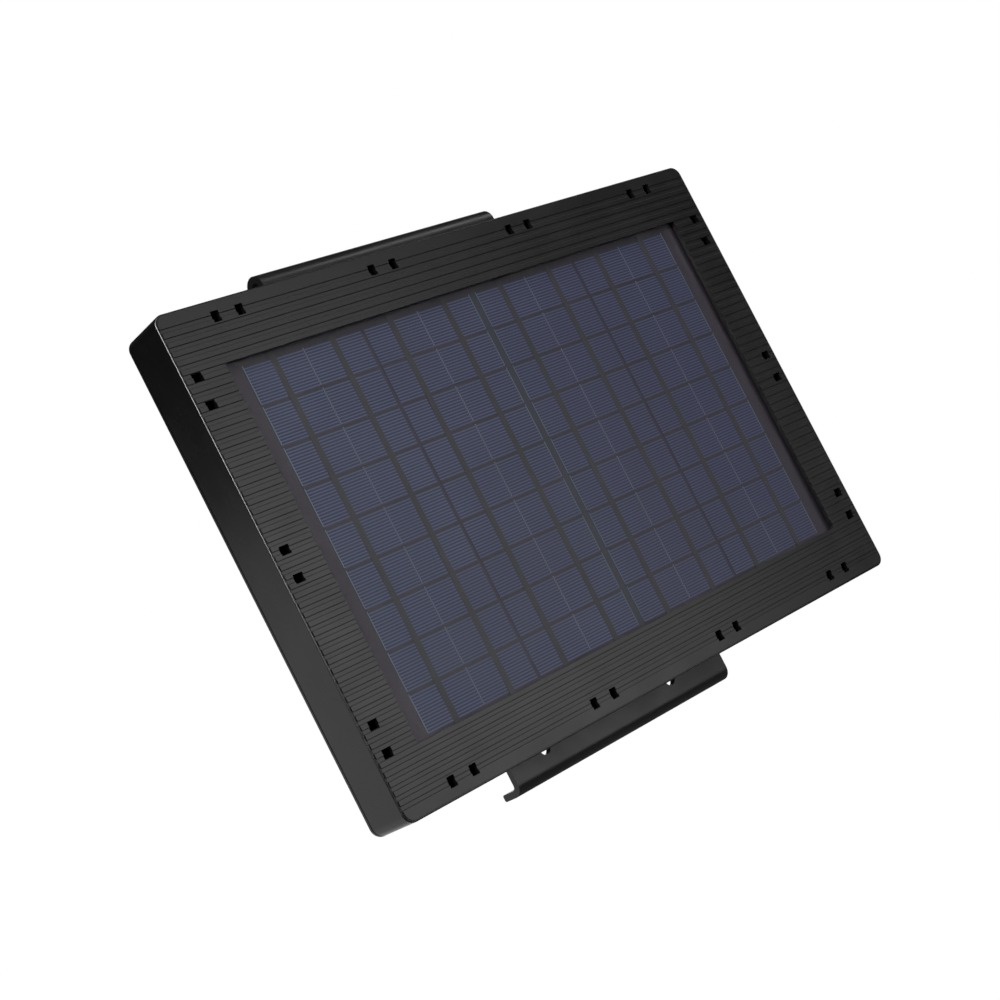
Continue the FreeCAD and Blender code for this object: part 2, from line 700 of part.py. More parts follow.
def draw_bracket_profile(sketch):
    """The plate's section: a hook over the top, a flat web and a foot bent back at the bottom.

    Lines and arcs run round the section from the web's front face. Each arc is tangent to its lines.
    """
    hook, top = value("HookDepth"), value("HookHeight")
    small, plate = value("HookRadius"), value("BracketThickness")
    large = small + plate
    web_front = hook - large
    bend = value("BendRadius")
    bend_y, bend_z = web_front + plate + bend, -value("FootBottom") + plate + bend
    leg, foot = top - value("HookLeg"), value("FootEnd")

    def line(y1, z1, y2, z2):
        return sketch.addGeometry(Part.LineSegment(Vector(y1, z1, 0), Vector(y2, z2, 0)), False)

    def arc(y, z, radius, start, end):
        circle = Part.Circle(Vector(y, z, 0), Vector(0, 0, 1), radius)
        return sketch.addGeometry(
            Part.ArcOfCircle(circle, math.radians(start), math.radians(end)), False
        )

    web = line(web_front, bend_z, web_front, top)
    hook_out = arc(hook, top, large, 0, 180)
    leg_back = line(hook + large, top, hook + large, leg)
    leg_end = line(hook + large, leg, hook + small, leg)
    leg_front = line(hook + small, leg, hook + small, top)
    hook_in = arc(hook, top, small, 0, 180)
    web_back = line(hook - small, top, hook - small, bend_z)
    bend_in = arc(bend_y, bend_z, bend, 180, 270)
    foot_top = line(bend_y, bend_z - bend, foot, bend_z - bend)
    foot_end = line(foot, bend_z - bend, foot, bend_z - bend - plate)
    foot_under = line(foot, bend_z - bend - plate, bend_y, bend_z - bend - plate)
    bend_out = arc(bend_y, bend_z, bend + plate, 180, 270)

    def tie(kind, *geometry):
        sketch.addConstraint(Sketcher.Constraint(kind, *geometry))

    tie("Tangent", web, 2, hook_out, 2)
    tie("Tangent", hook_out, 1, leg_back, 1)
    tie("Coincident", leg_back, 2, leg_end, 1)
    tie("Coincident", leg_end, 2, leg_front, 1)
    tie("Tangent", leg_front, 2, hook_in, 1)
    tie("Tangent", hook_in, 2, web_back, 1)
    tie("Tangent", web_back, 2, bend_in, 1)
    tie("Tangent", bend_in, 2, foot_top, 1)
    tie("Coincident", foot_top, 2, foot_end, 1)
    tie("Coincident", foot_end, 2, foot_under, 1)
    tie("Tangent", foot_under, 2, bend_out, 2)
    tie("Tangent", bend_out, 1, web, 1)
    tie("Coincident", hook_in, 3, hook_out, 3)
    tie("Coincident", bend_in, 3, bend_out, 3)
    for upright in (web, leg_back, foot_end):
        tie("Vertical", upright)
    for level in (leg_end, foot_top):
        tie("Horizontal", level)
    size_constraint(sketch, "HookY", "HookDepth", "DistanceX", hook_out, 3, hook)
    size_constraint(sketch, "HookZ", "HookHeight", "DistanceY", hook_out, 3, top)
    size_constraint(sketch, "Inside", "HookRadius", "Radius", hook_in, small)
    size_constraint(sketch, "Outside", "HookRadius + BracketThickness", "Radius", hook_out, large)
    size_constraint(sketch, "Leg", "HookLeg", "DistanceY", leg_back, 2, leg_back, 1, top - leg)
    size_constraint(sketch, "Bend", "BendRadius", "Radius", bend_in, bend)
    size_constraint(sketch, "Drop", "-FootBottom", "DistanceY", foot_under, 2, -value("FootBottom"))
    size_constraint(sketch, "Foot", "FootEnd", "DistanceX", foot_end, 1, foot)


def make_spacers():
    for name, side in (("spacer_left", -1), ("spacer_right", 1)):
        body = new_body(name)
        block(
            body, "Bar", "CoverBack", "BracketFront", "SpacerWidth", "SpacerHeight",
            f"{side} * SpacerX",
        )
        centre = side * value("SpacerX")
        half_width, half_height = value("SpacerWidth") / 2, value("SpacerHeight") / 2

        def is_corner(edge, start, end):
            along_y = abs(start.x - end.x) < 1e-3 and abs(start.z - end.z) < 1e-3
            on_side = abs(abs(start.x - centre) - half_width) < 1e-3
            return along_y and on_side and abs(abs(start.z) - half_height) < 1e-3

        dress(body, "Fillet", edges_where(body, is_corner), Radius="3")
        for level in (-1, 1):
            round_hole(
                body, f"Hole{level + 1}", "CoverBack", "BracketFront", "BoltClearance",
                f"{side} * SpacerX", f"{level} * BoltZ",
            )


# ---------------------------------------------------------------- Fasteners


def make_fasteners():
    screws, inserts = [], []
    for i, (x, z) in enumerate(BOLT_POINTS):
        screws.append(bracket_screw(i, x, z))
        bush = cylinder(f"InsertBush{i}", x, "CoverBack - 9", z, "6.98", "9")
        inserts.append(
            cut(f"Insert{i}", bush, cylinder(f"InsertBore{i}", x, "CoverBack - 9", z, "5.1", "9"))
        )
    group("bracket_screws", screws)
    group("bracket_inserts", inserts)
    group("cover_screws", [cover_screw(i, x, z) for i, (x, z) in enumerate(COVER_SCREW_POINTS)])
    group("board_screws", [board_screw(i, x, z) for i, (x, z) in enumerate(BOARD_SCREW_POINTS)])


def bracket_screw(i, x, z):
    """A countersunk socket screw, flush with the bracket's rear face and threaded into the cover's insert."""
    web_back = "BracketFront + BracketThickness"
    length = f"{web_back} - CoverBack + 7"
    shank = cylinder(f"BoltShank{i}", x, "CoverBack - 8.5", z, "BoltDiameter", length)
    head = doc.addObject("Part::Cone", f"BoltHead{i}")
    bind(head, Radius1="BoltDiameter / 2", Radius2="BoltDiameter / 2 + 2.3", Height="2.3")
    place(head, x, f"{web_back} - 2.3", z, ALONG_Y)
    socket = prism(f"BoltSocket{i}", x, f"{web_back} - 2", z, "3", "2")
    return cut(f"Bolt{i}", fuse(f"BoltSolid{i}", [shank, head]), socket)


def cover_screw(i, x, z):
    """A pan-head screw with a cross recess, driven from behind into a boss of the casing."""
    shank = cylinder(f"CoverShank{i}", x, "CasingBack - 11", z, "2.8", "CoverBack - CasingBack + 11")
    head = cylinder(f"CoverHead{i}", x, "CoverBack", z, "6", "2")
    wings = [
        box(f"CoverDrive{i}_{turned}", x, "CoverBack + 0.8", z, *wing)
        for turned, wing in enumerate((("3.2", "1.3", "0.8"), ("0.8", "1.3", "3.2")))
    ]
    return cut(f"CoverScrew{i}", fuse(f"CoverSolid{i}", [shank, head]), fuse(f"CoverCross{i}", wings))


def board_screw(i, x, z):
    shank = cylinder(f"BoardShank{i}", x, "BoardPlateFront", z, "2.1", "5")
    head = cylinder(f"BoardHead{i}", x, "BoardPlateFront - 1.6", z, "4.4", "1.6")
    return fuse(f"BoardScrew{i}", [shank, head])


# ---------------------------------------------------------------- Junction parts


def make_terminal_board():
    body = new_body("terminal_board")
    block(body, "Plate", "BoardPlateFront", "BoardPlateBack", "40", "34", "JunctionX", "-JunctionZ - 2")
    for i, (x, z) in enumerate(BOARD_SCREW_POINTS):
        round_hole(body, f"Hole{i}", "BoardPlateFront", "BoardPlateBack", "2.6", x, z)
    terminals = new_body("terminal_block")
    block(
        terminals, "Housing", "TerminalDepth - 4.2", "BoardPlateFront", "10", "8",
        "JunctionX", "-JunctionZ + 1",
    )
    for side in (-1, 1):
        round_hole(
            terminals, f"ScrewWell{side + 1}", "TerminalDepth - 4.2", "TerminalDepth - 1.2", "3.4",
            f"JunctionX + {side} * LeadSpacing / 2", "-JunctionZ + 1",
        )
    screws = [
        cylinder(
            f"ClampScrew{side + 1}", f"JunctionX + {side} * LeadSpacing / 2", "TerminalDepth - 3.6",
            "-JunctionZ + 1", "3", "2.4",
        )
        for side in (-1, 1)
    ]
    group("terminal_screws", screws)
    along_x = Rotation(Vector(0, 1, 0), 90)
    lead_y, lead_z = "BoardPlateFront - 3", "-JunctionZ - 12"
    diode = [
        cylinder("DiodeBody", "JunctionX - 4.5", lead_y, lead_z, "5", "9", along_x),
        cylinder("DiodeWire", "JunctionX - 8", lead_y, lead_z, "1.2", "16", along_x),
        cylinder("DiodePin0", "JunctionX - 8", lead_y, lead_z, "1.2", "3"),
        cylinder("DiodePin1", "JunctionX + 8", lead_y, lead_z, "1.2", "3"),
    ]
    node(fuse("BlockingDiode", diode), "blocking_diode")


def make_lead(name, side):
    """A short insulated lead from the laminate's base board to the terminal block, with one bend."""
    body = new_body(name)
    across = f"JunctionX + {side} * LeadSpacing / 2"
    spine = new_sketch(body, "Route", "YZ_Plane", offset=across)
    start, bend = value("BoardFront"), value("LeadBend")
    depth, level = value("TerminalDepth"), -value("LeadStartZ")
    terminal = -value("JunctionZ") + 5
    first = spine.addGeometry(
        Part.LineSegment(Vector(start, level, 0), Vector(depth - bend, level, 0)), False
    )
    circle = Part.Circle(Vector(depth - bend, level - bend, 0), Vector(0, 0, 1), bend)
    turn = spine.addGeometry(Part.ArcOfCircle(circle, 0, math.pi / 2), False)
    last = spine.addGeometry(
        Part.LineSegment(Vector(depth, level - bend, 0), Vector(depth, terminal, 0)), False
    )
    spine.addConstraint(Sketcher.Constraint("Tangent", first, 2, turn, 2))
    spine.addConstraint(Sketcher.Constraint("Tangent", turn, 1, last, 1))
    spine.addConstraint(Sketcher.Constraint("Horizontal", first))
    spine.addConstraint(Sketcher.Constraint("Vertical", last))
    size_constraint(spine, "Start", "BoardFront", "DistanceX", first, 1, start)
    size_constraint(spine, "Level", "-LeadStartZ", "DistanceY", first, 1, level)
    size_constraint(spine, "Bend", "LeadBend", "Radius", turn, bend)
    size_constraint(spine, "Depth", "TerminalDepth", "DistanceX", last, 2, depth)
    size_constraint(spine, "End", "-JunctionZ + 5", "DistanceY", last, 2, terminal)
    section = front_sketch(body, "Section", "BoardFront", across, "-LeadStartZ")
    add_circle(section, "LeadDiameter")
    doc.recompute()
    pipe = body.newObject("PartDesign::AdditivePipe", "Wire")
    pipe.Profile = section
    pipe.Spine = (spine, [f"Edge{i + 1}" for i in range(3)])
    doc.recompute()
    length = (depth - bend - start) + math.pi / 2 * bend + (level - bend - terminal)
    wanted = math.pi / 4 * value("LeadDiameter") ** 2 * length
    if abs(body.Shape.Volume - wanted) > 0.02 * wanted:
        raise RuntimeError(f"{name} has the wrong volume")


def make_gland():
    """A cable gland through the back cover: body and locknut clamp the cover, the dome nut grips the seal."""
    x, z = "GlandX", "-JunctionZ"
    body = new_body("gland_body")
    round_post(body, "Thread", "CasingBack - 6", "CoverBack", "12", x, z)
    hexagon(body, "Flange", "CoverBack", "CoverBack + 4.5", "15", x, z)
    round_post(body, "Neck", "CoverBack + 4.5", "CoverBack + 10", "11.4", x, z)
    round_hole(body, "Passage", "CasingBack - 6", "CoverBack + 5.5", "7.4", x, z)
    round_hole(body, "Throat", "CoverBack + 5.5", "CoverBack + 10", "9.6", x, z)
    locknut = new_body("gland_locknut")
    hexagon(locknut, "Nut", "CasingBack - 3.5", "CasingBack", "15", x, z)
    round_hole(locknut, "Thread", "CasingBack - 3.5", "CasingBack", "12.1", x, z)
    seal = new_body("gland_seal")
    round_post(seal, "Sleeve", "CoverBack + 5.5", "CoverBack + 12.5", "9.4", x, z)
    round_hole(seal, "Hole", "CoverBack + 5.5", "CoverBack + 12.5", "6", x, z)
    nut = new_body("gland_nut")
    hexagon(nut, "Grip", "CoverBack + 4.7", "CoverBack + 10.2", "15", x, z)
    round_post(nut, "Dome", "CoverBack + 10.2", "CoverBack + 14.2", "13", x, z)
    round_hole(nut, "Thread", "CoverBack + 4.7", "CoverBack + 10.2", "11.6", x, z)
    round_hole(nut, "Cone", "CoverBack + 10.2", "CoverBack + 12.7", "9.8", x, z)
    round_hole(nut, "Mouth", "CoverBack + 12.7", "CoverBack + 14.2", "7", x, z)
    dress(nut, "Fillet", circles_at(nut, 6.5, value("CoverBack") + 14.2), Radius="2")


def check_and_write():
    doc.recompute()
    for item in doc.Objects:
        if {"Invalid", "Error"} & set(item.State):
            raise RuntimeError(f"{item.Name} failed: {item.State}")
    names = [item.Label for item in NODES]
    if len(set(names)) != len(names):
        raise RuntimeError("two nodes share a name")
    for item in NODES:
        if item.Shape.isNull() or not item.Shape.isValid() or not item.Shape.Solids:
            raise RuntimeError(f"{item.Label} has no valid solid")
    os.makedirs("parts", exist_ok=True)
    for item in NODES:
        item.Shape.exportStep(f"parts/{item.Label}.step")
        print(f"{item.Label}: {len(item.Shape.Solids)} solids, {item.Shape.Volume / 1000:.2f} cm3")


make_casing()
make_bezel()
make_back_cover()
make_cover_seal()
make_laminate()
make_cells()
make_bracket()
make_spacers()
make_fasteners()
make_terminal_board()
make_lead("positive_lead", -1)
make_lead("negative_lead", 1)
make_gland()
check_and_write()
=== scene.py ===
import json
import math

import bpy
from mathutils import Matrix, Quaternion, Vector


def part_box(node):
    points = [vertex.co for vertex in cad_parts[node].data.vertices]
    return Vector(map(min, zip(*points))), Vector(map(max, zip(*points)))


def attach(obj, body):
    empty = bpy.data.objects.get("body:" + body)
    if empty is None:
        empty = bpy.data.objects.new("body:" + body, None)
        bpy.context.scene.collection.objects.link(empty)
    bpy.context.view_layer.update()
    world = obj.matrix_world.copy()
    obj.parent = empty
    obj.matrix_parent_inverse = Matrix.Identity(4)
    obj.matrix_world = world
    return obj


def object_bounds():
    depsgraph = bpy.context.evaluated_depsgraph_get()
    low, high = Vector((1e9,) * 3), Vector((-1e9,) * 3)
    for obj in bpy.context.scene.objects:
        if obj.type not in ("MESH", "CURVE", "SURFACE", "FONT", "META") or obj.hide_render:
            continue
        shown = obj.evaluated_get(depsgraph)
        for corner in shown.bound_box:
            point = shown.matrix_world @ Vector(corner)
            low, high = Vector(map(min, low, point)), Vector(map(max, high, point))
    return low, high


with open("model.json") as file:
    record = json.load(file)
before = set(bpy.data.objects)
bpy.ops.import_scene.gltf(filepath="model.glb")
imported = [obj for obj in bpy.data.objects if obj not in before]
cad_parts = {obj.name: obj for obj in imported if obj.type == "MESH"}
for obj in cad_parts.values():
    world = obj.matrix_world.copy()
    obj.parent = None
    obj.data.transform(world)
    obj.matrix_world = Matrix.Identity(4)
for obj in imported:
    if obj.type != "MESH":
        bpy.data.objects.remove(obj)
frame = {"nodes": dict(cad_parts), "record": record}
cad_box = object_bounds()

MM = 0.001

# Cells: the strips in a column, and what is printed on each
CELL_ROWS = 9
CELL_HEIGHT = 22.3 * MM
FINGERS = 13
FIRST_FINGER = 0.75 * MM
FINGER_PITCH = 1.62 * MM
FINGER_WIDTH = 0.62 * MM
FINGER_END_GAP = 0.4 * MM
DASH_WIDTH = 0.6 * MM
DASH_SHARE = 0.45  # of the space between two fingers
MARGIN_HEIGHT = 1.6 * MM

# The pale line at a wafer's edge, and the film between the two middle columns
EDGE_LINE_WIDTH = 0.45 * MM
EDGE_LINE_END_GAP = 0.6 * MM
FILM_SIDE_GAP = 0.3 * MM

# How far the printed layers lie in front of the cells' faces, and the film in front of their backs
PRINT_LIFT = 0.007 * MM
FILM_LIFT = 0.05 * MM

# Scales of the noise in the materials, as Blender's noise texture counts them over object metres
TONE_SCALE = 14.0
GLOSS_SCALE = 45.0
GRAIN_SCALE = 1500.0
GRAIN_DEPTH = 0.002 * MM
METAL_SCALE = 400.0
SHEET_TONE_SCALE = 9.0
SHEET_GLOSS_SCALE = 30.0
CELL_TONE_SCALE = 16.0
CELL_TONE_STRETCH = (1.0, 1.0, 1.6)
CELL_GLOSS_SCALE = 60.0
FLOOR_TONE_SCALE = 0.8
NOISE_ROUGHNESS = 0.55

# Where across the panel the printed silver turns from teal to violet, in metres from its middle.
# This is painted sheen: the silver is painted lighter teal on the left, where the light falls
# brighter, and darker violet to the right
TEAL_UNTIL, VIOLET_FROM = -0.16, 0.10

# Camera, measured from the middle of the bezel's front face
CAMERA_OFFSET = Vector((-0.7240, -0.7702, -0.0982))
CAMERA_AZIMUTH = -40.890
CAMERA_ELEVATION = -3.332
CAMERA_ROLL = -27.180
CAMERA_LENS = 70.550
CAMERA_SHIFT = (-0.02, 0.05)
CAMERA_SENSOR = 36.0
CAMERA_CLIP = (0.01, 200.0)

# Floor: half its width, its place below the panel, and its brightness to the camera alone
FLOOR_REACH = 60.0
FLOOR_DROP = 0.9
FLOOR_GLOW = 1.0

# Light. Each softbox: name, azimuth and elevation in degrees, distance, width, height, radiance
AMBIENT = 0.03
SOFTBOXES = (
    ("front_upper", 23.0, 11.0, 1.6, 0.86, 0.51, 1.85),
    ("front_lower", 32.5, -10.0, 1.6, 0.86, 0.80, 1.75),
    ("top_fill", -20.0, 52.0, 1.6, 1.6, 1.0, 2.8),
    ("behind_left", -146.0, -13.0, 1.6, 1.2, 1.2, 0.72),
    ("behind_low", 175.0, -38.0, 1.6, 1.2, 1.0, 0.7),
    ("behind_fill", 152.0, -2.0, 1.8, 1.4, 1.2, 1.4),
    ("right_fill", 92.0, 4.0, 1.8, 1.0, 1.0, 0.8),
)
# Bright strips that give no diffuse light, so they show only as highlights on rounded edges
EDGE_STRIPS = (
    ("edge_strip", -56.0, 26.5, 1.5, 0.5, 1.2, 34.0),
    ("top_strip", 62.0, 40.0, 1.6, 0.7, 0.3, 3.0),
)

bezel_low, bezel_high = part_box("bezel")
FACE = Vector(
    ((bezel_low.x + bezel_high.x) / 2, bezel_low.y, (bezel_low.z + bezel_high.z) / 2)
)


# ---------------------------------------------------------------- node helpers


def new_material(name):
    material = bpy.data.materials.new(name)
    material.use_nodes = True
    tree = material.node_tree
    shader = next(n for n in tree.nodes if n.type == "BSDF_PRINCIPLED")
    return material, tree, shader


def coordinates(tree, scale=(1.0, 1.0, 1.0)):
    """Object coordinates, stretched by scale."""
    source = tree.nodes.new("ShaderNodeTexCoord")
    mapping = tree.nodes.new("ShaderNodeMapping")
    mapping.inputs["Scale"].default_value = scale
    tree.links.new(source.outputs["Object"], mapping.inputs["Vector"])
    return mapping.outputs["Vector"]


def noise(tree, vector, scale, detail=3.0):
    texture = tree.nodes.new("ShaderNodeTexNoise")
    texture.inputs["Scale"].default_value = scale
    texture.inputs["Detail"].default_value = detail
    texture.inputs["Roughness"].default_value = NOISE_ROUGHNESS
    tree.links.new(vector, texture.inputs["Vector"])
    return texture.outputs["Fac"]


def spread(tree, value, low, high, from_low=0.3, from_high=0.7):
    """Maps a value onto the range from low to high."""
    node = tree.nodes.new("ShaderNodeMapRange")
    node.inputs["From Min"].default_value = from_low
    node.inputs["From Max"].default_value = from_high
    node.inputs["To Min"].default_value = low
    node.inputs["To Max"].default_value = high
    tree.links.new(value, node.inputs["Value"])
    return node.outputs["Result"]


def blend_colours(tree, value, first, second, from_low=0.3, from_high=0.7):
    """The first colour where the value is low, the second where it is high."""
    ramp = tree.nodes.new("ShaderNodeValToRGB")
    ramp.color_ramp.elements[0].position = from_low
    ramp.color_ramp.elements[1].position = from_high
    ramp.color_ramp.elements[0].color = (*first, 1.0)
    ramp.color_ramp.elements[1].color = (*second, 1.0)
    tree.links.new(value, ramp.inputs["Fac"])
    return ramp.outputs["Color"]


def bump(tree, shader, height, distance):
    node = tree.nodes.new("ShaderNodeBump")
    node.inputs["Distance"].default_value = distance
    node.inputs["Strength"].default_value = 1.0
    tree.links.new(height, node.inputs["Height"])
    tree.links.new(node.outputs["Normal"], shader.inputs["Normal"])


# ---------------------------------------------------------------- materials


def grey(level):
    return (level, level, level)


def plastic(name, dark, light, roughness, grain_scale=GRAIN_SCALE, grain_depth=GRAIN_DEPTH):
    """Moulded plastic: slow tone and roughness changes, and a fine grain."""
    material, tree, shader = new_material(name)
    vector = coordinates(tree)
    tone = noise(tree, vector, TONE_SCALE)
    tree.links.new(blend_colours(tree, tone, dark, light), shader.inputs["Base Color"])
    gloss = noise(tree, vector, GLOSS_SCALE)
    tree.links.new(spread(tree, gloss, *roughness), shader.inputs["Roughness"])
    bump(tree, shader, noise(tree, vector, grain_scale, 2.0), grain_depth)
    return material


def metal(name, dark, light, roughness):
    """Bare metal with fine marks."""
    material, tree, shader = new_material(name)
    marks = noise(tree, coordinates(tree), METAL_SCALE)
    tree.links.new(blend_colours(tree, marks, dark, light), shader.inputs["Base Color"])
    tree.links.new(spread(tree, marks, *roughness), shader.inputs["Roughness"])
    shader.inputs["Metallic"].default_value = 1.0
    return material


def clear_sheet(name, dark, light, roughness, alpha, specular):
    """A thin clear layer. Most of what is behind it shows through."""
    material, tree, shader = new_material(name)
    vector = coordinates(tree)
    tone = noise(tree, vector, SHEET_TONE_SCALE)
    tree.links.new(blend_colours(tree, tone, dark, light), shader.inputs["Base Color"])
    gloss = noise(tree, vector, SHEET_GLOSS_SCALE)
    tree.links.new(spread(tree, gloss, *roughness), shader.inputs["Roughness"])
    shader.inputs["Specular IOR Level"].default_value = specular
    shader.inputs["Alpha"].default_value = alpha
    return material


def silicon(name, dark, light, roughness, specular):
    """Dark blue-violet cells whose tone drifts slowly over the panel."""
    material, tree, shader = new_material(name)
    tone = noise(tree, coordinates(tree, CELL_TONE_STRETCH), CELL_TONE_SCALE, 2.0)
    tree.links.new(blend_colours(tree, tone, dark, light), shader.inputs["Base Color"])
    gloss = noise(tree, coordinates(tree), CELL_GLOSS_SCALE)
    tree.links.new(spread(tree, gloss, *roughness), shader.inputs["Roughness"])
    shader.inputs["Specular IOR Level"].default_value = specular
    return material


# The board and the resin behind the cells look alike: dark and light tone, and roughness
BACKING = ((0.036, 0.027, 0.044), (0.042, 0.033, 0.050), (0.42, 0.50))

MATERIALS = {
    "casing_plastic": plastic("Casing plastic", grey(0.0035), grey(0.005), (0.24, 0.29)),
    "bezel_plastic": plastic(
        "Bezel plastic", (0.0050, 0.0042, 0.0045), (0.0065, 0.0055, 0.0060), (0.30, 0.36)
    ),
    "cover_plastic": plastic(
        "Cover plastic", (0.006, 0.006, 0.0065), (0.008, 0.008, 0.0085), (0.28, 0.34)
    ),
    "seal_rubber": plastic("Seal rubber", grey(0.010), grey(0.016), (0.7, 0.85)),
    "pad_foam": plastic("Pad foam", grey(0.018), grey(0.028), (0.8, 0.95), 2500.0, 0.1 * MM),
    "spacer_plastic": plastic(
        "Spacer plastic", (0.014, 0.014, 0.015), (0.019, 0.019, 0.020), (0.45, 0.55)
    ),
    "gland_plastic": plastic(
        "Gland nylon", (0.014, 0.014, 0.015), (0.020, 0.020, 0.021), (0.38, 0.48)
    ),
    "terminal_plastic": plastic(
        "Terminal plastic", (0.05, 0.16, 0.09), (0.06, 0.19, 0.11), (0.4, 0.5)
    ),
    "terminal_board_laminate": plastic(
        "Terminal board", (0.02, 0.10, 0.05), (0.03, 0.13, 0.06), (0.3, 0.4)
    ),
    "diode_plastic": plastic("Diode plastic", grey(0.012), grey(0.02), (0.25, 0.35)),
    "lead_red": plastic("Red sheath", (0.40, 0.012, 0.010), (0.50, 0.02, 0.015), (0.3, 0.4)),
    "lead_black": plastic("Black sheath", grey(0.012), grey(0.018), (0.3, 0.4)),
    "base_board_plastic": plastic("Base board", *BACKING),
    "encapsulant_rear": plastic("Rear resin", *BACKING),
    "encapsulant_clear": clear_sheet(
        "Clear resin", grey(0.06), grey(0.08), (0.6, 0.7), alpha=0.02, specular=0.0
    ),
    "front_sheet_glass": clear_sheet(
        "Front sheet",
        (0.07, 0.065, 0.07),
        (0.09, 0.08, 0.085),
        (0.3, 0.4),
        alpha=0.05,
        specular=0.5,
    ),
    "cell_silicon": silicon(
        "Cell silicon", (0.032, 0.041, 0.104), (0.038, 0.045, 0.114), (0.36, 0.44), specular=0.38
    ),
    "ribbon_metal": plastic(
        "Tinned strip", (0.036, 0.037, 0.046), (0.044, 0.045, 0.056), (0.45, 0.55), 900.0
    ),
    "bracket_paint": plastic(
        "Bracket powder coat", (0.008, 0.008, 0.009), (0.011, 0.011, 0.012), (0.30, 0.38), 1400.0
    ),
    "screw_steel": metal("Zinc steel", (0.40, 0.40, 0.41), (0.55, 0.55, 0.56), (0.3, 0.45)),
    "insert_brass": metal("Brass", (0.60, 0.42, 0.18), (0.75, 0.56, 0.28), (0.25, 0.4)),
}


def dress_nodes():
    slot_of = {part["node"]: part["material_slot"] for part in frame["record"]["subparts"]}
    for name, item in frame["nodes"].items():
        item.data.materials.clear()
        item.data.materials.append(MATERIALS[slot_of[name]])


# ---------------------------------------------------------------- printed conductors on the cells


def rectangles_mesh(name, rectangles, y, material):
    """One mesh of flat rectangles that face the front. Each rectangle is (x, z, width, height)."""
    vertices, faces = [], []
    for x, z, width, height in rectangles:
        first = len(vertices)
        for dx, dz in ((-1, -1), (1, -1), (1, 1), (-1, 1)):
            vertices.append((x + dx * width / 2, y, z + dz * height / 2))
        faces.append(range(first, first + 4))
    mesh = bpy.data.meshes.new(name)
    mesh.from_pydata(vertices, [], faces)
    mesh.materials.append(material)
    item = bpy.data.objects.new(name, mesh)
    bpy.context.scene.collection.objects.link(item)
    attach(item, "root")


def silver_with_painted_sheen():
    """Silver lines over blue cells, with painted sheen: they are painted lighter teal on the left,
    where the light falls brighter, and darker violet on the right. A noise cloud adds random tone.
    """
    material, tree, shader = new_material("Printed silver")
    vector = coordinates(tree)
    axes = tree.nodes.new("ShaderNodeSeparateXYZ")
    tree.links.new(vector, axes.inputs["Vector"])
    # Painted sheen: a gradient across the panel from lighter teal on the left to darker violet on
    # the right
    across = spread(tree, axes.outputs["X"], 0.0, 1.0, TEAL_UNTIL, VIOLET_FROM)
    cloud = noise(tree, vector, CELL_TONE_SCALE, 2.0)
    # The painted sheen gradient plus random tone from the noise cloud
    drift = tree.nodes.new("ShaderNodeMath")
    drift.operation = "ADD"
    tree.links.new(across, drift.inputs[0])
    tree.links.new(spread(tree, cloud, -0.25, 0.25), drift.inputs[1])
    teal, violet = (0.124, 0.160, 0.285), (0.098, 0.110, 0.205)
    colour = blend_colours(tree, drift.outputs["Value"], teal, violet, 0.1, 0.9)
    tree.links.new(colour, shader.inputs["Base Color"])
    shader.inputs["Roughness"].default_value = 0.5
    return material


def print_column(column, bare, silver, dashed, pale):
    """One column's bare margins, fine lines, dashes up the middle, and line at the wafer's edge."""
    low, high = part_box(f"cell_string_{column}")
    middle = (low.x + high.x) / 2
    width = high.x - low.x
    pitch = (high.z - low.z - CELL_HEIGHT) / (CELL_ROWS - 1)
    rows = [low.z + CELL_HEIGHT / 2 + row * pitch for row in range(CELL_ROWS)]
    edge = low.x + EDGE_LINE_WIDTH / 2 if column in (1, 3) else high.x - EDGE_LINE_WIDTH / 2
    finger_length = width - 2 * FINGER_END_GAP
    dash_height = FINGER_PITCH * DASH_SHARE
    line_height = CELL_HEIGHT - 2 * EDGE_LINE_END_GAP
    fingers, dashes, margins = [], [], []
    for centre in rows:
        bottom, top = centre - CELL_HEIGHT / 2, centre + CELL_HEIGHT / 2
        for i in range(FINGERS):
            z = bottom + FIRST_FINGER + i * FINGER_PITCH
            fingers.append((middle, z, finger_length, FINGER_WIDTH))
            dashes.append((middle, z + FINGER_PITCH / 2, DASH_WIDTH, dash_height))
        margins.append((middle, top - MARGIN_HEIGHT / 2, width, MARGIN_HEIGHT))
    lines = [(edge, centre, EDGE_LINE_WIDTH, line_height) for centre in rows]
    rectangles_mesh(f"cell_margins_{column}", margins, low.y - PRINT_LIFT, bare)
    rectangles_mesh(f"cell_fingers_{column}", fingers, low.y - PRINT_LIFT, silver)
    rectangles_mesh(f"cell_dashes_{column}", dashes, low.y - 2 * PRINT_LIFT, dashed)
    rectangles_mesh(f"wafer_edges_{column}", lines, low.y - 3 * PRINT_LIFT, pale)


def add_centre_film():
    """The film that shows between the second and third columns, greyer than the cells."""
    left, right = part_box("cell_string_2")[1].x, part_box("cell_string_3")[0].x
    low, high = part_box("cell_string_2")
    width = right - left - 2 * FILM_SIDE_GAP
    film = [((left + right) / 2, (low.z + high.z) / 2, width, high.z - low.z)]
    slate = plastic("Centre film", (0.034, 0.036, 0.062), (0.040, 0.042, 0.070), (0.40, 0.48))
    rectangles_mesh("centre_film", film, high.y - FILM_LIFT, slate)


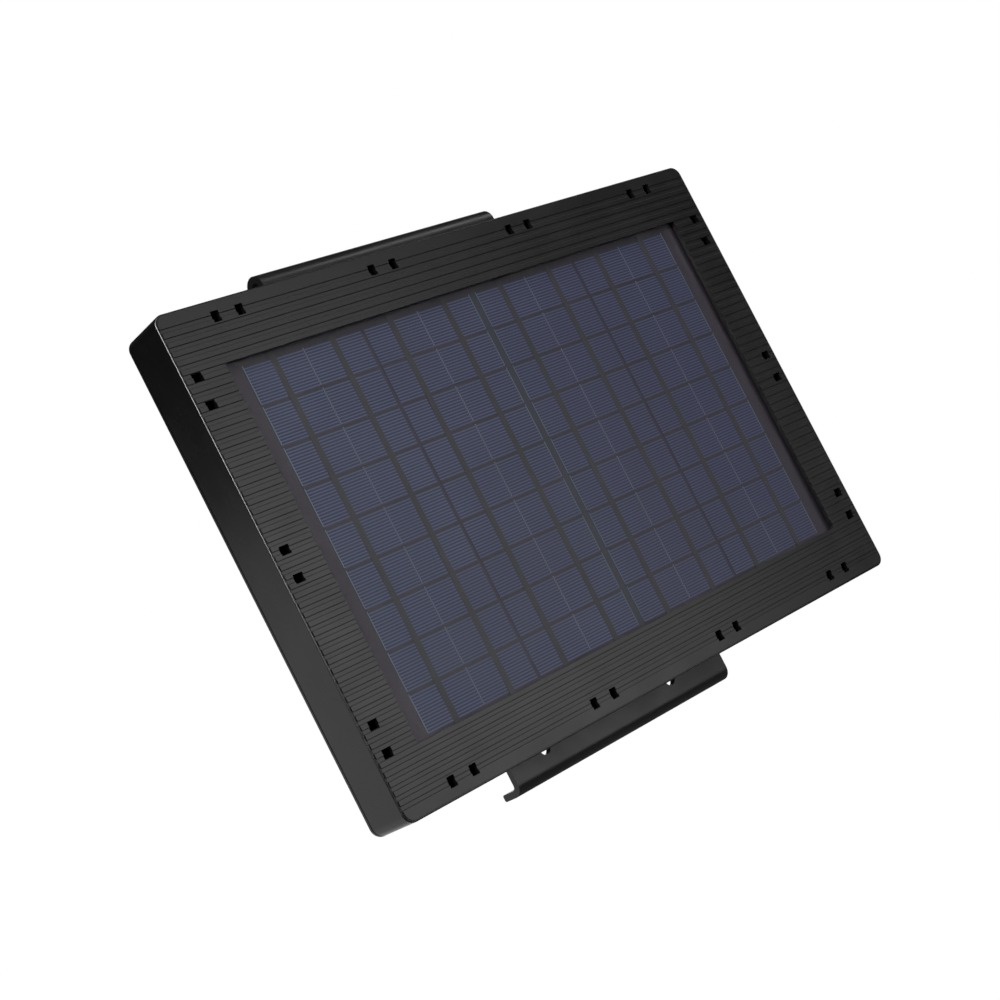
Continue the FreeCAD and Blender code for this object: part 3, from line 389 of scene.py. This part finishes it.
def print_conductors():
    """What is printed on the four columns of cells. The bare margins are greyer than the cells. The
    wafer-edge line is painted lighter on the first column, on the left where the light falls
    brighter, and painted darker on the other three.
    """
    silver = silver_with_painted_sheen()
    dashed = plastic("Printed dashes", (0.21, 0.22, 0.28), (0.27, 0.28, 0.34), (0.45, 0.50))
    # Lit and shaded copies of one wafer-edge line: the paler one is painted light for the left
    # column, the fainter one painted shade for the rest
    pale = plastic("Wafer edge", (0.17, 0.26, 0.32), (0.24, 0.34, 0.41), (0.40, 0.45))
    painted_shade_wafer_edge = plastic("Faint wafer edge", (0.11, 0.19, 0.25), (0.17, 0.26, 0.32), (0.40, 0.45))
    bare = plastic(
        "Bare cell margin", (0.030, 0.030, 0.050), (0.036, 0.035, 0.056), (0.40, 0.48)
    )
    for column in range(1, 5):
        # The left column gets the painted lighter copy of the wafer-edge line, the others the
        # painted darker copy
        print_column(column, bare, silver, dashed, pale if column == 1 else painted_shade_wafer_edge)


# ---------------------------------------------------------------- stage, light and camera


def make_floor():
    """A pale floor well below the panel, which the camera sees as white."""
    material, tree, shader = new_material("Floor")
    tone = noise(tree, coordinates(tree), FLOOR_TONE_SCALE)
    colour = blend_colours(tree, tone, grey(0.30), grey(0.34))
    tree.links.new(colour, shader.inputs["Base Color"])
    shader.inputs["Roughness"].default_value = 0.9
    shader.inputs["Emission Color"].default_value = (1.0, 1.0, 1.0, 1.0)
    path = tree.nodes.new("ShaderNodeLightPath")
    glow = tree.nodes.new("ShaderNodeMath")
    glow.operation = "MULTIPLY"
    glow.inputs[1].default_value = FLOOR_GLOW
    tree.links.new(path.outputs["Is Camera Ray"], glow.inputs[0])
    tree.links.new(glow.outputs["Value"], shader.inputs["Emission Strength"])
    mesh = bpy.data.meshes.new("floor")
    height = cad_box[0].z - FLOOR_DROP
    corners = [
        (x * FLOOR_REACH, y * FLOOR_REACH, height) for x, y in ((-1, -1), (1, -1), (1, 1), (-1, 1))
    ]
    mesh.from_pydata(corners, [], [(0, 1, 2, 3)])
    mesh.materials.append(material)
    floor = bpy.data.objects.new("floor", mesh)
    bpy.context.scene.collection.objects.link(floor)


def make_world():
    """A white world that is dimmer as a light than as a backdrop."""
    world = bpy.data.worlds.new("Studio")
    bpy.context.scene.world = world
    world.use_nodes = True
    tree = world.node_tree
    light = next(n for n in tree.nodes if n.type == "BACKGROUND")
    light.inputs["Color"].default_value = (1.0, 1.0, 1.0, 1.0)
    light.inputs["Strength"].default_value = AMBIENT
    backdrop = tree.nodes.new("ShaderNodeBackground")
    backdrop.inputs["Color"].default_value = (1.0, 1.0, 1.0, 1.0)
    path = tree.nodes.new("ShaderNodeLightPath")
    mix = tree.nodes.new("ShaderNodeMixShader")
    output = next(n for n in tree.nodes if n.type == "OUTPUT_WORLD")
    tree.links.new(path.outputs["Is Camera Ray"], mix.inputs["Fac"])
    tree.links.new(light.outputs["Background"], mix.inputs[1])
    tree.links.new(backdrop.outputs["Background"], mix.inputs[2])
    tree.links.new(mix.outputs["Shader"], output.inputs["Surface"])


def direction_to(azimuth, elevation):
    """A unit vector away from the panel. Azimuth 0 is in front of it and 90 to its right."""
    across, up = math.radians(azimuth), math.radians(elevation)
    return Vector(
        (math.sin(across) * math.cos(up), -math.cos(across) * math.cos(up), math.sin(up))
    )


def add_softbox(name, azimuth, elevation, distance, width, height, radiance):
    """A rectangular soft light aimed at the panel."""
    data = bpy.data.lights.new(name, "AREA")
    data.shape = "RECTANGLE"
    data.size, data.size_y = width, height
    data.energy = radiance * math.pi * width * height
    softbox = bpy.data.objects.new(name, data)
    bpy.context.scene.collection.objects.link(softbox)
    direction = direction_to(azimuth, elevation)
    softbox.location = FACE + direction * distance
    softbox.rotation_mode = "QUATERNION"
    softbox.rotation_quaternion = (-direction).to_track_quat("-Z", "Y")
    return softbox


def make_lights():
    for softbox in SOFTBOXES:
        add_softbox(*softbox)
    for strip in EDGE_STRIPS:
        add_softbox(*strip).visible_diffuse = False


def make_camera():
    data = bpy.data.cameras.new("camera")
    data.sensor_width = CAMERA_SENSOR
    data.lens = CAMERA_LENS
    data.shift_x, data.shift_y = CAMERA_SHIFT
    data.clip_start, data.clip_end = CAMERA_CLIP
    camera = bpy.data.objects.new("camera", data)
    bpy.context.scene.collection.objects.link(camera)
    back = direction_to(CAMERA_AZIMUTH, CAMERA_ELEVATION)
    level = (-back).to_track_quat("-Z", "Y")
    roll = Quaternion((0.0, 0.0, 1.0), math.radians(CAMERA_ROLL))
    camera.location = FACE + CAMERA_OFFSET
    camera.rotation_mode = "QUATERNION"
    camera.rotation_quaternion = level @ roll
    bpy.context.scene.camera = camera


dress_nodes()
print_conductors()
add_centre_film()
make_floor()
make_world()
make_lights()
make_camera()
bpy.context.scene.view_settings.view_transform = "Standard"
